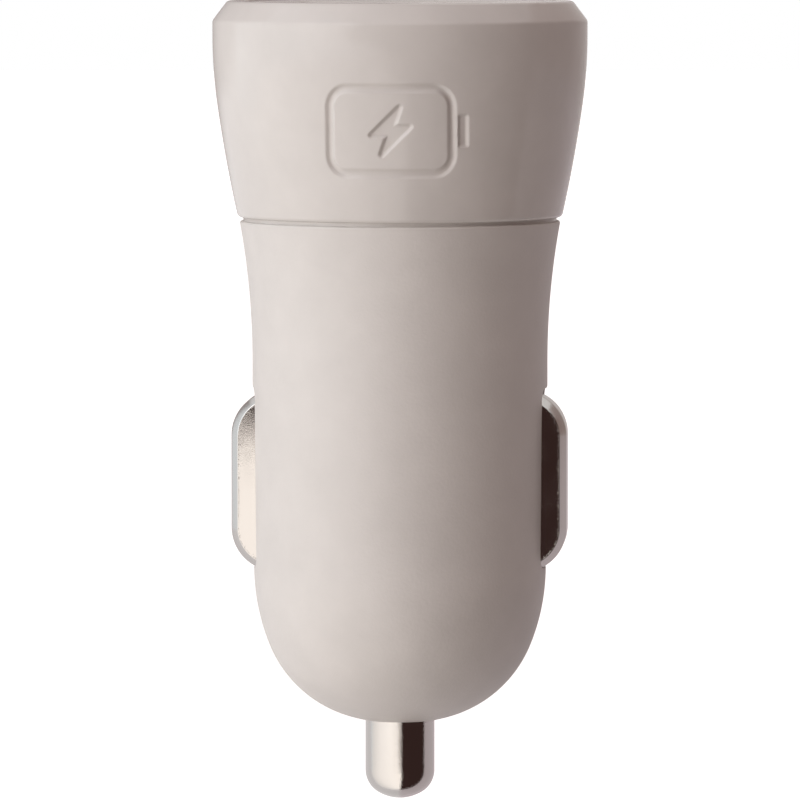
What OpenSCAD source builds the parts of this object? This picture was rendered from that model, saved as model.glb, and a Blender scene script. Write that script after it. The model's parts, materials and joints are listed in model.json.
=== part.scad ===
// A plug that charges a phone from a vehicle's 12 V socket.
// +Z is up, towards the head and its port. The origin is the end of the centre tip, on the axis.
// X runs through the two side contacts. The head's front looks along -Y.
// All sizes are in millimetres.

/* [Barrel] */
// Diameter of the barrel's land, which sits in the mouth of the socket
barrel_d = 20.7; // [20:0.1:21.6]
// What the barrel's radius loses to draft, from the land down to the nose
barrel_draft = 0.1; // [0:0.05:0.3]
// Length of the drafted barrel between the nose and the land
barrel_l = 13; // [11:0.1:18]
// Length of the straight land above the side contacts
land_l = 1.5; // [1:0.1:4]
// Diameter of the body where it meets the head
waist_d = 22.5; // [22.3:0.1:24]
// Length of the hollow flare between the land and the waist
flare_l = 9.8; // [8:0.1:14]
// Wall of the body
body_wall = 1.35; // [1:0.05:1.5]
// Round on the edge of the body's mouth
mouth_round = 0.15; // [0.05:0.05:0.3]

/* [Nose] */
// Height of the nose, from its crown to the barrel
nose_l = 11.05; // [10.5:0.05:12]
// Radius of the arc that leaves the barrel
nose_side_r = 14.7; // [13.6:0.1:16]
// Radius of the arc round the nose's shoulder
nose_corner_r = 8.6; // [7.6:0.1:9.2]
// Radius of the arc over the nose's crown
nose_crown_r = 13; // [12:0.1:14.5]
// Thickness of the nose round the tip's hole
nose_t = 1.65; // [1.3:0.05:2]

/* [Head] */
// Widest diameter of the head
head_d = 26.26; // [25.5:0.1:28]
// Height of the head, from its foot to the rim
head_l = 15.15; // [14.9:0.05:18]
// Distance of the widest line below the rim
head_brow = 2.4; // [2.1:0.1:3]
// Radius of the arc just under the widest line
head_brow_r = 35; // [30:1:50]
// Height of that arc
head_brow_l = 4.9; // [3:0.1:6]
// Radius of the long arc from there to the foot
head_side_r = 100; // [80:5:160]
// Width of the rim's chamfer
rim_chamfer_w = 1.05; // [0.6:0.05:1.3]
// Height of the rim's chamfer
rim_chamfer_h = 1.4; // [1:0.05:1.8]
// Round where the chamfer meets the rim and the side
rim_round = 0.45; // [0.2:0.05:0.6]
// Round on the head's foot
foot_round = 0.35; // [0.2:0.05:0.5]
// Wall of the head
head_wall = 1.8; // [1.4:0.1:2]
// Height of the groove between the head and the body
waist_gap = 0.25; // [0.15:0.05:0.5]
// Depth of that groove
waist_groove = 0.27; // [0.15:0.01:0.4]
// Length of the spigot that goes into the body
spigot_l = 3.4; // [2.5:0.1:4.5]
// Wall of the spigot
spigot_wall = 1; // [0.8:0.1:1.1]

/* [Face plate] */
// Diameter of the plate in the head's top
plate_d = 21.8; // [20.5:0.1:22]
// Thickness of the plate
plate_t = 1.6; // [1.2:0.1:2]
// How far the plate lies below the rim
plate_sink = 0.1; // [0:0.05:0.3]
// Bevel round the plate's edge
plate_bevel = 0.2; // [0.1:0.05:0.4]
// Width of the ledge that carries the plate
plate_ledge = 0.8; // [0.6:0.1:1.2]

/* [Charging port] */
// Width of the opening inside the metal shell
port_w = 12.5; // [12.4:0.05:12.6]
// Height of the opening inside the metal shell
port_h = 5.12; // [5:0.02:5.2]
// Sheet thickness of the shell
port_sheet = 0.3; // [0.25:0.05:0.35]
// Length of the shell
port_l = 13.5; // [13:0.1:14]
// How far the shell's mouth lies below the plate
port_sink = 0.5; // [0.4:0.05:0.8]
// Width of the bevel round the port's mouth, on the plate
mouth_bevel_w = 0.65; // [0.3:0.05:0.9]
// Depth of that bevel
mouth_bevel_h = 0.4; // [0.2:0.05:0.5]
// Width of the tongue
tongue_w = 11.1; // [11:0.05:11.2]
// Thickness of the tongue
tongue_t = 1.84; // [1.8:0.02:1.9]
// Distance of the tongue's contact face behind the port's middle
tongue_off = 0.06; // [0:0.02:0.2]
// Distance of the tongue's end below the shell's mouth
tongue_back = 3; // [2.6:0.1:3.5]
// Height of the block that the tongue grows from
insulator_base = 2.5; // [2:0.1:3]
// Width of each contact strip
pin_w = 1; // [0.9:0.05:1.1]
// Thickness of each contact strip
pin_t = 0.2; // [0.15:0.05:0.25]
// Distance of the inner pair of contacts from the middle
pin_inner = 1; // [0.95:0.05:1.05]
// Distance of the outer pair of contacts from the middle
pin_outer = 3.5; // [3.4:0.05:3.6]

/* [Centre tip] */
// Diameter of the tip
tip_d = 4.86; // [4.4:0.02:5.4]
// How far the tip stands out of the nose
tip_out = 5.3; // [4.5:0.1:6]
// Radius of the arc over the tip's end
tip_crown_r = 3; // [2.7:0.1:4]
// Radius of the arc at the edge of the tip's end
tip_corner_r = 1.8; // [1.4:0.1:2]
// Wall of the tip
tip_wall = 0.45; // [0.35:0.05:0.6]
// How far the tip's collar stands out from it
tip_collar = 0.65; // [0.5:0.05:0.8]
// Thickness of the collar
tip_collar_t = 0.7; // [0.5:0.1:1]
// Travel of the tip into the nose
tip_travel = 2.8; // [1.5:0.1:3]
// Room that is left over the collar at full travel
tip_spare = 1.4; // [1:0.1:2]

/* [Side contacts] */
// Distance over the two contacts' faces
contact_span = 23.5; // [22.8:0.1:24]
// Width of a contact
contact_w = 4.4; // [3.6:0.1:5]
// How far a contact reaches past the barrel's lower end
contact_reach = 0.275; // [0:0.025:0.5]
// Distance of a contact's upper end below the land
contact_below = 0.625; // [0.4:0.025:1.5]
// Radius of a contact's ends, seen from the front
contact_end_r = 3.1; // [2.7:0.05:3.2]
// Round along a contact's edges
contact_edge_r = 0.45; // [0.3:0.05:0.6]
// Sheet thickness of a contact
contact_t = 0.45; // [0.35:0.05:0.5]
// Length of the flange that holds a contact in
contact_flange = 1.1; // [0.8:0.1:1.3]
// Travel of a contact into the barrel
contact_travel = 1.4; // [1.2:0.1:1.6]
// Room that is left behind a contact at full travel
contact_spare = 2; // [1.5:0.1:2.5]
// Depth of the bevel round the slots
slot_bevel = 0.35; // [0.2:0.05:0.4]

/* [Springs] */
// Wire of the tip's spring
tip_wire_d = 0.4; // [0.3:0.05:0.45]
// Turns of the tip's spring
tip_turns = 9; // [6:1:10]
// Wire of the side contacts' springs
side_wire_d = 0.35; // [0.25:0.05:0.4]
// Turns of the side contacts' springs
side_turns = 7; // [5:1:8]
// Outer diameter of the side contacts' springs
side_spring_d = 3; // [2.6:0.1:3.2]

/* [Circuit board] */
// Gap between the board's corners and the housing
board_gap = 0.3; // [0.2:0.05:0.6]
// Length of the stays that hold the board's upper end
stay_l = 3.75; // [3:0.05:5]
// Thickness of the board
board_t = 1; // [0.8:0.1:1.2]
// Diameter of the two capacitors
can_d = 5; // [4:0.1:5.2]
// Height of the two capacitors
can_h = 7; // [5:0.5:8]
// Diameter of the coil's core
core_d = 7; // [6:0.1:7.4]
// Height of the coil's core
core_h = 4.6; // [4:0.1:5]

/* [Fits] */
// Gap round pieces that slide
slide_gap = 0.05; // [0.04:0.01:0.1]
// Gap round pieces that are pushed in once
push_gap = 0.05; // [0.03:0.01:0.1]
// Gap round loose pieces
loose_gap = 0.15; // [0.1:0.01:0.2]

/* [Hidden] */
$fn = 96;
cut = 0.1; // how far a cut runs past the face that it opens
fine = 32; // facets of a small round

// Heights on the axis, from the tip's end up
z_crown = tip_out;
z_nose = z_crown + nose_l;
z_land = z_nose + barrel_l;
z_flare = z_land + land_l;
z_waist = z_flare + flare_l;
z_head = z_waist + waist_gap;
z_top = z_head + head_l;
z_brow = z_top - head_brow;

// Radii of the barrel and the body
barrel_r = barrel_d / 2;
nose_r = barrel_r - barrel_draft;
waist_r = waist_d / 2;
bore_r = nose_r - body_wall;
mouth_lip = 1.3;
spigot_r = waist_r - mouth_round - mouth_lip;
z_mouth = z_waist - spigot_l - loose_gap;
bead_r = 0.5;
bead_out = 0.15;
rib_t = 1;

// The head's inside
head_r = head_d / 2;
z_plate = z_top - plate_sink - plate_t;
plate_r = plate_d / 2;
deck_t = 1.2;
z_deck = z_plate - deck_t;
neck_h = 0.6;
skirt_l = 1.5;
skirt_t = 1;
collar_l = 2.6;
collar_t = 1;
stay_w = 2;

// The tip's seat, its sleeve and the carrier over them
rib_gap = 0.2;
z_seat = z_crown + nose_t;
tip_r = tip_d / 2;
collar_r = tip_r + tip_collar;
sleeve_r = collar_r + loose_gap;
sleeve_wall = 1;
terminal_t = 0.3;
z_terminal = z_seat + tip_collar_t + tip_travel + tip_spare;
plug_l = 1.1;
z_sleeve = z_terminal + terminal_t + plug_l;
z_carrier = z_sleeve + rib_gap;
carrier_floor_t = 1.2;
z_floor = z_carrier + carrier_floor_t;

// The tip's rounded end: the middle of its corner arc, and where its spring stands
tip_corner_x = tip_r - tip_corner_r;
tip_corner_z = tip_crown_r - sqrt(pow(tip_crown_r - tip_corner_r, 2) - pow(tip_corner_x, 2));
tip_bend_r = tip_corner_r - tip_wall;
tip_spring_gap = 2 * push_gap;
tip_spring_r = tip_r - tip_wall - tip_spring_gap;
z_spring = tip_corner_z - sqrt(pow(tip_bend_r, 2) - pow(tip_bend_r - tip_spring_gap, 2));

// The side contacts
contact_x = contact_span / 2;
contact_l = barrel_l + contact_reach - contact_below;
z_contact = z_nose - contact_reach + contact_l / 2;
slot_w = contact_w + 2 * loose_gap;
slot_l = contact_l + 2 * loose_gap;
slot_corner_r = 2 * loose_gap;
flange_x = sqrt(bore_r * bore_r - pow(contact_w / 2, 2)) - 2 * slide_gap;
back_x = flange_x - contact_t - contact_travel;

// The carrier's block between the contacts, and the strap over it
strap_t = 0.3;
seat_x = back_x - contact_spare - strap_t;
block_w = 4.8;
block_l = 6;
z_block = z_contact + block_l / 2;
strap_w = 4;
strap_tab_w = 1.3;
strap_tab_l = 2;
boss_r = side_spring_d / 2 - side_wire_d - 2 * push_gap;
boss_l = 1.3;
web = 1;

// The port and the board behind it
shell_bend = 0.3;
shell_w = port_w + 2 * port_sheet;
shell_h = port_h + 2 * port_sheet;
z_shell = z_top - plate_sink - port_sink;
z_port = z_shell - port_l;
board_y = -shell_h / 2;
back_y = board_y - board_t;
board_r = min(spigot_r - spigot_wall, nose_inside(z_floor)) - board_gap;
board_w = 2 * sqrt(board_r * board_r - back_y * back_y);
z_board_top = z_plate - stay_l;
z_tongue = z_shell - tongue_back;
pin_drop = 0.45;
pin_z = z_port - pin_drop;
pin_x = [-pin_outer, -pin_inner, pin_inner, pin_outer];
pin_fit = 0.02;
pin_hole_r = 0.6;
pin_back = 0.9;
bow_h = 0.35;
bow_l = 1.5;
tab_l = 2;
tab_gap = 0.1;
tab_rise = 3;
z_tab = z_port + tab_rise;
tail = 0.6; // how far leads and tabs stand out behind the board

// The parts on the board
can_r = can_d / 2;
can_gap = 0.7;
can_x = can_r + can_gap;
z_can = pin_z - pin_t - 3 * loose_gap - can_r;
lead_r = 0.25;
lead_gap = 0.1;
lead_x = 1;
core_r = core_d / 2;
z_core = (z_block + strap_t + z_can - can_r) / 2;
spool_r = core_r / 2;
rim_t = 0.9;
chip_w = 3.9;
chip_h = 1.45;
chip_l = 4.9;
chip_lift = 0.1;
chip_pitch = 1.27;
chip_leg_w = 0.4;
chip_leg_t = 0.2;
chip_leg_out = 1.1;
diode_w = 2.6;
diode_h = 2;
diode_l = 4.2;
diode_cap = 0.9;
diode_cap_t = 0.15;
fuse_w = 2.5;
fuse_h = 2.2;
fuse_l = 6;
fuse_cap = 1.3;
fuse_cap_t = 0.1;
small_w = 1.2;
small_h = 0.5;
small_l = 2;
small_cap = 0.4;
small_cap_t = 0.05;
small_x = 5;
small_step = 2.6;

// The tip's terminal, with a leg that stands off the board and bends to it above the floor
terminal_r = sleeve_r - terminal_t;
leg_w = 1.6;
leg_y = terminal_r - terminal_t - push_gap;
leg_l = 3.5;

function unit(v) = v / norm(v);
function normal(a, b) = let (u = unit(b - a)) [-u.y, u.x];

// The crossing of two circles that lies to the right of the line from the first centre to the second
function crossing(a, ra, b, rb) =
    let (v = b - a, d = norm(v), t = (ra * ra - rb * rb + d * d) / (2 * d), h = sqrt(ra * ra - t * t))
    a + v * t / d + [v.y, -v.x] * h / d;

// An open path moved sideways by d, its corners mitred
function moved(p, d) = [for (i = [0:len(p) - 1])
    let (last = len(p) - 1,
        n1 = i == 0 ? normal(p[0], p[1]) : normal(p[i - 1], p[i]),
        n2 = i == last ? normal(p[last - 1], p[last]) : normal(p[i], p[i + 1]))
    p[i] + (n1 + n2) * d / (1 + n1 * n2)];

// A strip of sheet of thickness t that follows an open path
module strip_outline(p, t) {
    back = moved(p, -t / 2);
    polygon(concat(moved(p, t / 2), [for (i = [len(p) - 1:-1:0]) back[i]]));
}

// A path in Y and Z made into a strip of width w about X
module strip_yz(p, t, w) {
    rotate([90, 0, 90]) linear_extrude(w, center = true) strip_outline(p, t);
}

// A rounded rectangle about the origin
module rounded(w, h, r) {
    square([w - 2 * r, h], center = true);
    square([w, h - 2 * r], center = true);
    for (x = [-1, 1], y = [-1, 1]) translate([x * (w / 2 - r), y * (h / 2 - r)]) circle(r);
}

// A box given by its two corners
module block(low, high) {
    translate(low) cube(high - low);
}

// A wire wound along +Z from 0 to l, its end turns lying close
module coil(l, r, wire_r, turns, sides = 8, steps = 14) {
    close = 2.15 * wire_r;
    open = (l - 2 * wire_r - 2 * close) / (turns - 2);
    rise = function (s) wire_r + (s < 1 ? close * s
        : s > turns - 1 ? close + open * (turns - 2) + close * (s - turns + 1)
        : close + open * (s - 1));
    count = turns * steps;
    points = [for (i = [0:count], k = [0:sides - 1])
        let (a = 360 * i / steps, b = 360 * k / sides, q = r + wire_r * cos(b))
        [q * cos(a), q * sin(a), rise(i / steps) + wire_r * sin(b)]];
    sheath = [for (i = [0:count - 1], k = [0:sides - 1])
        let (n = (k + 1) % sides, o = i * sides, p = o + sides)
        each [[o + k, p + k, p + n], [o + k, p + n, o + n]]];
    polyhedron(points, concat([[for (k = [0:sides - 1]) k]], sheath,
        [[for (k = [sides - 1:-1:0]) count * sides + k]]));
}

// Half outline of the nose, taken in by inset: side arc, corner arc and crown arc, all tangent
module nose_area(inset = 0) {
    side = [nose_r - nose_side_r, z_nose];
    crown = [0, z_crown + nose_crown_r];
    corner = crossing(side, nose_side_r - nose_corner_r, crown, nose_crown_r - nose_corner_r);
    reach = nose_side_r + nose_crown_r;
    intersection() {
        translate([0, z_crown]) square([nose_r, nose_l]);
        difference() {
            intersection() {
                translate(side) circle(nose_side_r - inset);
                translate(crown) circle(nose_crown_r - inset);
            }
            difference() {
                polygon([corner, corner + unit(corner - side) * reach,
                    corner + unit(corner - crown) * reach]);
                translate(corner) circle(nose_corner_r - inset);
            }
        }
    }
}

// Half outline of the body's outside
module body_area() {
    drop = waist_r - barrel_r;
    flare_r = (drop * drop + flare_l * flare_l) / (2 * drop);
    nose_area();
    polygon([[0, z_nose], [nose_r, z_nose], [barrel_r, z_land], [0, z_land]]);
    translate([0, z_land]) square([barrel_r, land_l]);
    difference() {
        translate([0, z_flare]) square([waist_r, flare_l]);
        translate([barrel_r + flare_r, z_flare]) circle(flare_r, $fn = 720);
        corner_round([waist_r, z_waist], [-1, 0], [-flare_l, drop - flare_r], mouth_round);
    }
}

// What a round of radius r takes off a corner that two edges leave along a and b
module corner_round(corner, a, b, r) {
    middle = unit(unit(a) + unit(b));
    half = acos(unit(a) * middle);
    reach = r / tan(half);
    centre = corner + middle * r / sin(half);
    difference() {
        polygon([corner - middle * cut, corner + unit(a) * reach, centre, corner + unit(b) * reach]);
        translate(centre) circle(r, $fn = fine);
    }
}

// Half outline of the space in the body
module body_space_area() {
    difference() {
        nose_area(body_wall);
        square([bore_r, z_seat]);
    }
    translate([0, z_nose]) square([bore_r, z_waist - z_nose + cut]);
    translate([0, z_mouth]) square([spigot_r + push_gap, z_waist - z_mouth + cut]);
    translate([spigot_r + push_gap, z_waist - spigot_l / 2]) bead_area();
}

// The snap bead round the spigot, and the groove that it clicks into
module bead_area() {
    intersection() {
        translate([bead_out - bead_r, 0]) circle(bead_r, $fn = fine);
        translate([-bead_out, -bead_r]) square(2 * bead_r);
    }
}

module slot_outline(grow = 0) {
    rounded(slot_w + 2 * grow, slot_l + 2 * grow, slot_corner_r + grow);
}

// The slot that a side contact comes out of, with a bevel round its mouth
module slot_cut() {
    bevel_x = sqrt(barrel_r * barrel_r - pow(slot_w / 2, 2)) - slot_bevel / 2;
    sheet = 0.01;
    translate([seat_x, 0, z_contact]) rotate([90, 0, 90]) linear_extrude(barrel_r) slot_outline();
    hull() for (end = [0, 1]) translate([bevel_x + end, 0, z_contact])
        rotate([90, 0, 90]) linear_extrude(sheet) slot_outline(end * 2 * slot_bevel, $fn = 24);
}

// Ribs inside the nose, which carry the carrier's floor
module nose_ribs() {
    intersection() {
        for (a = [45:90:315]) rotate(a)
            block([sleeve_r + rib_gap, -rib_t / 2, z_seat], [nose_r, rib_t / 2, z_carrier]);
        rotate_extrude() nose_area(body_wall / 2);
    }
}

module body_shell() {
    color([0.75, 0.72, 0.69]) {
        difference() {
            union() {
                difference() {
                    rotate_extrude() body_area();
                    rotate_extrude() body_space_area();
                }
                nose_ribs();
                translate([0, 0, z_seat]) cylinder(z_sleeve - z_seat, r = sleeve_r + sleeve_wall);
            }
            cylinder(z_seat + cut, r = tip_r + slide_gap);
            translate([0, 0, z_seat]) cylinder(z_sleeve, r = sleeve_r);
            for (turn = [0, 180]) rotate(turn) slot_cut();
        }
    }
}

// Half outline of the head's outside, taken in by inset
module head_area(inset = 0) {
    brow = [head_r - head_brow_r, z_brow];
    dip = asin(head_brow_l / head_brow_r);
    knee = brow + head_brow_r * [cos(dip), -sin(dip)];
    side = knee - head_side_r * [cos(dip), -sin(dip)];
    foot_drop = side.y - z_head;
    foot_x = side.x + sqrt(head_side_r * head_side_r - foot_drop * foot_drop);
    shoulder = [head_r, z_top - rim_chamfer_h];
    slope = [-rim_chamfer_w, rim_chamfer_h];
    difference() {
        translate([0, z_head]) square([head_r - inset, head_l]);
        difference() {
            translate([0, knee.y]) square([head_r + cut, z_brow - knee.y]);
            translate(brow) circle(head_brow_r - inset, $fn = 720);
        }
        difference() {
            translate([0, z_head - cut]) square([head_r + cut, knee.y - z_head + cut]);
            translate(side) circle(head_side_r - inset, $fn = 1440);
        }
        polygon([shoulder - slope, shoulder + 2 * slope, shoulder + [rim_chamfer_w, 2 * rim_chamfer_h]]);
        corner_round(shoulder, [0, -1], slope, rim_round);
        corner_round(shoulder + slope, [-1, 0], -slope, rim_round);
        corner_round([foot_x, z_head], [-1, 0], [foot_drop, foot_x - side.x], foot_round);
    }
}

module head_shell() {
    spigot_in = spigot_r - spigot_wall;
    z_neck = z_head + neck_h;
    color([0.78, 0.75, 0.72]) rotate_extrude() difference() {
        union() {
            head_area();
            translate([0, z_waist]) square([waist_r - waist_groove, waist_gap]);
            translate([0, z_waist - spigot_l]) square([spigot_r, spigot_l]);
            translate([spigot_r, z_waist - spigot_l / 2]) bead_area();
        }
        translate([0, z_waist - spigot_l - cut]) square([spigot_in, head_l]);
        intersection() {
            head_area(head_wall);
            polygon([[0, z_neck], [spigot_in, z_neck], [head_r, z_neck + head_r - spigot_in],
                [head_r, z_deck], [0, z_deck]]);
        }
        translate([0, z_deck - cut]) square([plate_r - plate_ledge, deck_t + 2 * cut]);
        translate([0, z_plate]) square([plate_r + push_gap, z_top - z_plate + cut]);
    }
}

// The opening in the plate, which the port's shell stands in
module mouth_outline(grow = 0) {
    open = 2 * (2 * push_gap + grow);
    rounded(shell_w + open, shell_h + open, 2 * shell_bend + grow);
}

// The plate round the port: a skirt centres it, a collar steadies the port, two stays hold the board
module face_plate() {
    skirt_r = plate_r - plate_ledge - push_gap;
    bevel_z = z_plate + plate_t - mouth_bevel_h;
    sheet = 0.01;
    color([0.72, 0.69, 0.66]) difference() {
        union() {
            translate([0, 0, z_plate]) rotate_extrude() polygon([[0, 0], [plate_r, 0],
                [plate_r, plate_t - plate_bevel], [plate_r - plate_bevel, plate_t], [0, plate_t]]);
            difference() {
                translate([0, 0, z_plate - skirt_l]) cylinder(skirt_l + cut, r = skirt_r);
                translate([0, 0, z_plate - skirt_l - cut]) cylinder(skirt_l + cut, r = skirt_r - skirt_t);
            }
            translate([0, 0, z_plate - collar_l]) linear_extrude(collar_l + cut) mouth_outline(collar_t);
            for (s = [-1, 1]) translate([s * (board_w / 2 - stay_w), 0, 0])
                block([-stay_w / 2, back_y, z_board_top], [stay_w / 2, board_y, z_plate + cut]);
        }
        translate([0, 0, z_plate - collar_l - cut]) linear_extrude(collar_l + plate_t + 2 * cut)
            mouth_outline();
        hull() for (end = [0, 1]) translate([0, 0, bevel_z + 2 * end * mouth_bevel_h])
            linear_extrude(sheet) mouth_outline(2 * end * mouth_bevel_w, $fn = 24);
    }
}

// The port's shell, with the two tabs that hold it to the board
module usb_shell() {
    color([0.75, 0.76, 0.78]) {
        difference() {
            translate([0, 0, z_port]) linear_extrude(port_l)
                rounded(shell_w, shell_h, shell_bend + port_sheet);
            translate([0, 0, z_port - cut]) linear_extrude(port_l + 2 * cut)
                rounded(port_w, port_h, shell_bend);
        }
        for (s = [0, 1]) mirror([s, 0, 0])
            block([shell_w / 2 - port_sheet, back_y - tail, z_tab], [shell_w / 2, 0, z_tab + tab_l]);
    }
}

// The plastic block at the bottom of the port, and the tongue that carries the contacts
module usb_insulator() {
    color([0.1, 0.1, 0.11]) difference() {
        union() {
            translate([0, 0, z_port]) linear_extrude(insulator_base)
                rounded(port_w - 2 * push_gap, port_h - 2 * push_gap, shell_bend);
            block([-tongue_w / 2, -tongue_off - tongue_t, z_port], [tongue_w / 2, -tongue_off, z_tongue]);
        }
        for (x = pin_x) block([x - pin_w / 2 - pin_fit, -tongue_off, z_port - cut],
            [x + pin_w / 2 + pin_fit, -tongue_off + pin_t + pin_fit, z_port + insulator_base + cut]);
    }
}

// One of the port's contacts: it lies on the tongue, bows off it near the end, and bends into the board
module usb_contact(n) {
    y = -tongue_off + pin_t / 2;
    z_bow = z_tongue - pin_back;
    color([0.85, 0.7, 0.35]) translate([pin_x[n - 1], 0, 0]) strip_yz([
        [back_y - tail, pin_z], [y, pin_z], [y, z_bow - 3 * bow_l], [y + bow_h, z_bow - 2 * bow_l],
        [y + bow_h, z_bow - bow_l], [y, z_bow], [y, z_bow + pin_back / 2]], pin_t, pin_w);
}

module circuit_board() {
    color([0.1, 0.35, 0.2]) difference() {
        block([-board_w / 2, back_y, z_floor], [board_w / 2, board_y, z_board_top]);
        for (x = pin_x) board_hole(x, pin_z, pin_hole_r);
        for (x = [-can_x, can_x], s = [-1, 1]) board_hole(x + s * lead_x, z_can, lead_r + lead_gap);
        for (s = [0, 1]) mirror([s, 0, 0])
            block([shell_w / 2 - port_sheet - tab_gap, back_y - cut, z_tab - tab_gap],
                [shell_w / 2 + tab_gap, board_y + cut, z_tab + tab_l + tab_gap]);
    }
}

module board_hole(x, z, r) {
    translate([x, board_y + cut, z]) rotate([90, 0, 0]) cylinder(board_t + 2 * cut, r = r, $fn = fine);
}

// A drum of ferrite that stands on the board
module inductor_core() {
    color([0.2, 0.2, 0.21]) translate([0, board_y, z_core]) rotate([-90, 0, 0]) {
        cylinder(rim_t, r = core_r);
        cylinder(core_h, r = spool_r);
        translate([0, 0, core_h - rim_t]) cylinder(rim_t, r = core_r);
    }
}

// The wire on the drum, one ring of section for each turn of its outer layer
module inductor_winding() {
    room = core_h - 2 * (rim_t + push_gap);
    turns = 6;
    wire_r = room / turns / 2;
    out_r = core_r - wire_r;
    color([0.72, 0.4, 0.2]) translate([0, board_y + rim_t + push_gap, z_core]) rotate([-90, 0, 0])
        rotate_extrude() {
            translate([spool_r + push_gap, 0]) square([out_r - wire_r - spool_r - push_gap, room]);
            for (i = [0:turns - 1]) translate([out_r - wire_r, (2 * i + 1) * wire_r])
                circle(wire_r, $fn = 24);
        }
}

// An electrolytic can that stands on the board: rounded top, crimp over the seal, two leads
module capacitor(x) {
    crimp_z = 1.4;
    crimp_r = 0.45;
    crimp_t = 0.2;
    round_r = 0.5;
    translate([x, board_y, z_can]) rotate([-90, 0, 0]) {
        rotate_extrude() difference() {
            square([can_r, can_h]);
            corner_round([can_r, can_h], [-1, 0], [0, -1], round_r);
            translate([can_r + crimp_r - crimp_t, crimp_z]) circle(crimp_r, $fn = fine);
        }
        for (s = [-1, 1]) translate([s * lead_x, 0, -board_t - tail])
            cylinder(board_t + tail + cut, r = lead_r, $fn = 24);
    }
}

module input_capacitor() {
    color([0.15, 0.15, 0.18]) capacitor(-can_x);
}

module output_capacitor() {
    color([0.15, 0.15, 0.18]) capacitor(can_x);
}

// The converter chip behind the board, with four bent legs on each side
module controller_chip() {
    side_x = chip_w / 2;
    knee_x = side_x + chip_leg_out / 3;
    mid = back_y - chip_lift - chip_h / 2;
    foot_y = back_y - chip_leg_t / 2;
    path = [[side_x - chip_leg_t, mid], [knee_x, mid], [knee_x + chip_lift, foot_y],
        [side_x + chip_leg_out, foot_y]];
    color([0.12, 0.12, 0.13]) translate([0, 0, z_core]) {
        block([-side_x, back_y - chip_lift - chip_h, -chip_l / 2], [side_x, back_y - chip_lift, chip_l / 2]);
        for (i = [-1.5:1.5], s = [0, 1]) mirror([s, 0, 0]) translate([0, 0, i * chip_pitch])
            linear_extrude(chip_leg_w, center = true) strip_outline(path, chip_leg_t);
    }
}

// A part with a terminal over each end, which lies on the back of the board with its length along Z
module end_capped(size, cap, cap_t) {
    block([-size.x / 2, -cap_t - size.y, -size.z / 2], [size.x / 2, -cap_t, size.z / 2]);
    for (s = [0, 1]) mirror([0, 0, s])
        block([-size.x / 2 - cap_t, -2 * cap_t - size.y, size.z / 2 - cap],
            [size.x / 2 + cap_t, 0, size.z / 2 + cap_t]);
}

module rectifier_diode() {
    color([0.13, 0.13, 0.14]) translate([0, back_y, z_can])
        end_capped([diode_w, diode_h, diode_l], diode_cap, diode_cap_t);
}

module board_fuse() {
    color([0.85, 0.84, 0.8]) translate([0, back_y, z_contact])
        end_capped([fuse_w, fuse_h, fuse_l], fuse_cap, fuse_cap_t);
}

// The small resistors and capacitors behind the board
module chip_resistors() {
    color([0.3, 0.27, 0.24]) for (x = [-small_x, small_x], i = [-1:1])
        translate([x, back_y, z_core + i * small_step]) rotate([0, 90, 0])
            end_capped([small_w, small_h, small_l], small_cap, small_cap_t);
}

// Where the nose's inside is, at a height in its side arc
function nose_inside(z) =
    nose_r - nose_side_r + sqrt(pow(nose_side_r - body_wall, 2) - pow(z_nose - z, 2));

// The moulded carrier: a floor over the tip's sleeve, and a block that the contacts' springs push on
module contact_carrier() {
    floor_r = nose_inside(z_carrier) - loose_gap;
    pocket_x = leg_w / 2 + loose_gap;
    pocket_y = -leg_y + terminal_t / 2 + loose_gap;
    recess_l = (z_block - z_floor - 3 * web) / 2;
    notch_w = contact_w + 2 * loose_gap;
    color([0.88, 0.87, 0.84]) difference() {
        union() {
            translate([0, 0, z_carrier]) cylinder(carrier_floor_t, r = floor_r);
            translate([0, 0, z_terminal + terminal_t])
                cylinder(z_floor - z_terminal - terminal_t, r = sleeve_r - push_gap);
            block([-seat_x, -block_w / 2, z_floor - cut], [seat_x, block_w / 2, z_block]);
            for (s = [0, 1]) mirror([s, 0, 0]) {
                translate([seat_x - cut, 0, z_contact]) rotate([0, 90, 0])
                    cylinder(strap_t + boss_l + cut, r = boss_r, $fn = 48);
                block([seat_x - 2 * web, board_y, z_floor - cut],
                    [seat_x - web, -block_w / 2 + cut, z_block - 2 * web]);
                block([seat_x - web, back_y - web, z_floor - cut],
                    [seat_x + web, back_y, z_floor + leg_l]);
            }
        }
        for (s = [0, 1]) mirror([s, 0, 0]) block([back_x - loose_gap, -notch_w / 2, z_carrier - cut],
            [nose_r, notch_w / 2, z_floor + cut]);
        for (z = [z_floor + web, z_floor + 2 * web + recess_l])
            block([-seat_x + web, -web, z], [seat_x - web, block_w, z + recess_l]);
        block([-pocket_x, -leg_y - terminal_t / 2 - loose_gap, z_terminal],
            [pocket_x, pocket_y, z_floor + cut]);
        block([-pocket_x, -block_w, z_floor], [pocket_x, pocket_y, z_floor + leg_l + loose_gap]);
    }
}

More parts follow.
